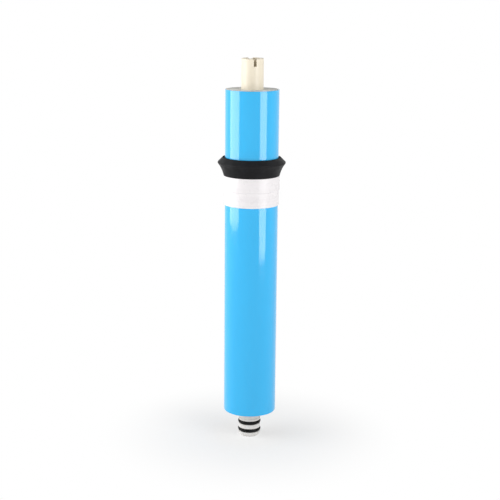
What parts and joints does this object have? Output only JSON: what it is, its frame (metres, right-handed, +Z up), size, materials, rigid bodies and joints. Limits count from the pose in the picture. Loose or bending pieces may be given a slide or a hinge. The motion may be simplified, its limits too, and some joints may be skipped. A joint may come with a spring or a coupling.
{
  "type": "ro membrane element",
  "caption": "Slim spiral-wound water filter element: blue film-wrapped roll on a plastic tube, black flared lip seal and white band near the top, two O-rings on the foot spigot.",
  "frame": {"origin": "middle of the spigot's end face, at the centre of the box's bottom", "axes": "+Z up along the element's axis, from the permeate spigot to the plain stub; -Y is the front, where the stub's slot shows"},
  "size_m": [0.0494, 0.0494, 0.284],
  "materials": {
    "tube_plastic": "satin",
    "blue_film": "gloss",
    "black_rubber": "matte",
    "white_tape": "satin",
    "membrane_sheet": "satin",
    "spacer_net": "satin",
    "carrier_cloth": "matte",
    "clear_glue": "satin"
  },
  "bodies": {
    "root": {"permeate_tube": "tube_plastic", "o_ring_lower": "black_rubber", "o_ring_upper": "black_rubber", "permeate_carrier": "carrier_cloth", "membrane_leaf": "membrane_sheet", "feed_spacer": "spacer_net", "end_glue": "clear_glue", "outer_wrap": "blue_film", "brine_seal": "black_rubber", "seal_tape": "white_tape"}
  },
  "joints": []
}
